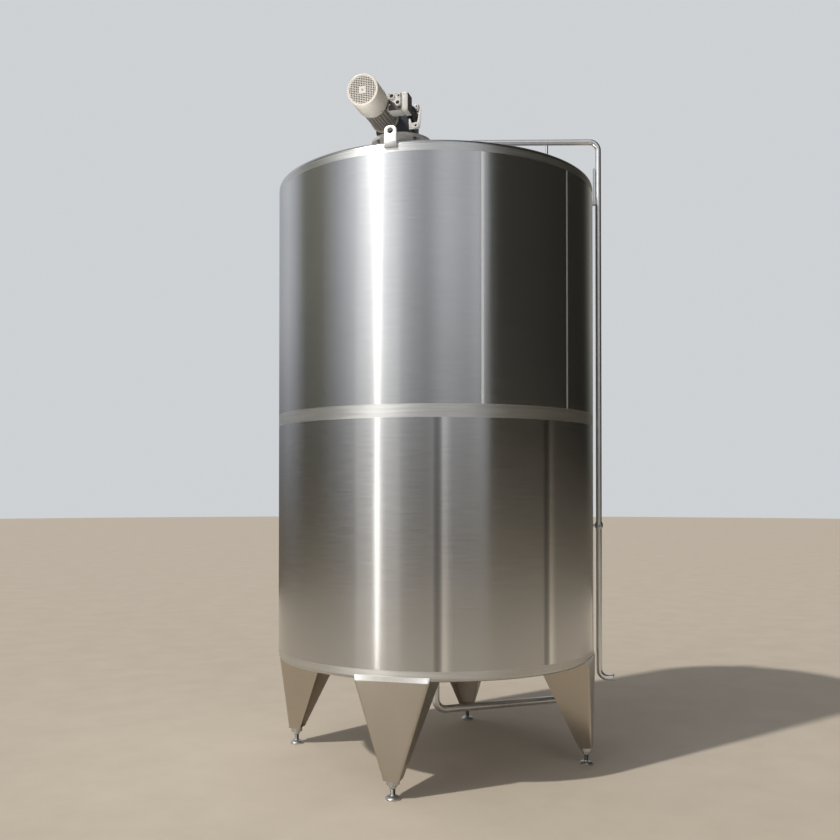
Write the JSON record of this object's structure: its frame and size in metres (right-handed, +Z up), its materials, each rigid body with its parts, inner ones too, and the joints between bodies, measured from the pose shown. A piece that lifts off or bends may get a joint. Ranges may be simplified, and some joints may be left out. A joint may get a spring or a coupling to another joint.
{
  "type": "vertical mixing tank",
  "caption": "Upright stainless mixing tank on folded legs, with an agitator drive on its coned roof, a fill pipe over the rim and an outlet below",
  "frame": {"origin": "on the ground, on the tank's upright axis, level with the soles of the feet", "axes": "+Z is up; -Y is the side between the two front legs; +X is to the right, where the outlet and the fill pipe end"},
  "size_m": [2.05, 2.05, 4.255],
  "materials": {
    "shell_steel": "rolled and brushed stainless sheet, dull and paler where the welds were dressed",
    "fitting_steel": "machined and blasted stainless, satin",
    "pipe_steel": "drawn stainless tube, smooth",
    "motor_paint": "brown grey paint, matt, dusty",
    "cowl_paint": "cream grey paint, satin",
    "gearbox_paint": "dark blue grey paint over castings"
  },
  "bodies": {
    "root": {"shell_lower_closing_plate": "shell_steel", "shell_lower_right_plate": "shell_steel", "shell_lower_left_plate": "shell_steel", "shell_upper_closing_plate": "shell_steel", "shell_upper_right_plate": "shell_steel", "shell_upper_left_plate": "shell_steel", "roof_cone": "shell_steel", "floor_cone": "shell_steel", "leg_front_left": "shell_steel", "leg_front_right": "shell_steel", "leg_rear_right": "shell_steel", "leg_rear_left": "shell_steel", "drive_neck": "shell_steel", "manway_neck": "shell_steel", "foot_front_left": "fitting_steel", "foot_front_right": "fitting_steel", "foot_rear_right": "fitting_steel", "foot_rear_left": "fitting_steel", "lifting_lug_front": "fitting_steel", "lifting_lug_rear": "fitting_steel", "drive_flange": "fitting_steel", "fill_clamp": "fitting_steel", "fill_support_post": "fitting_steel", "fill_clip_upper": "fitting_steel", "fill_clip_lower": "fitting_steel", "manway_lid": "fitting_steel", "fill_nozzle": "pipe_steel", "fill_riser": "pipe_steel", "fill_bend_inner": "pipe_steel", "fill_run": "pipe_steel", "fill_bend_outer": "pipe_steel", "fill_drop_upper": "pipe_steel", "fill_union": "pipe_steel", "fill_drop_lower": "pipe_steel", "fill_bend_tail": "pipe_steel", "fill_tail": "pipe_steel", "outlet_nozzle": "pipe_steel", "outlet_bend": "pipe_steel", "outlet_run": "pipe_steel", "motor_end_shield": "motor_paint", "motor_body": "motor_paint", "fan_cowl": "cowl_paint", "terminal_box": "cowl_paint", "gearbox": "gearbox_paint"}
  },
  "joints": []
}
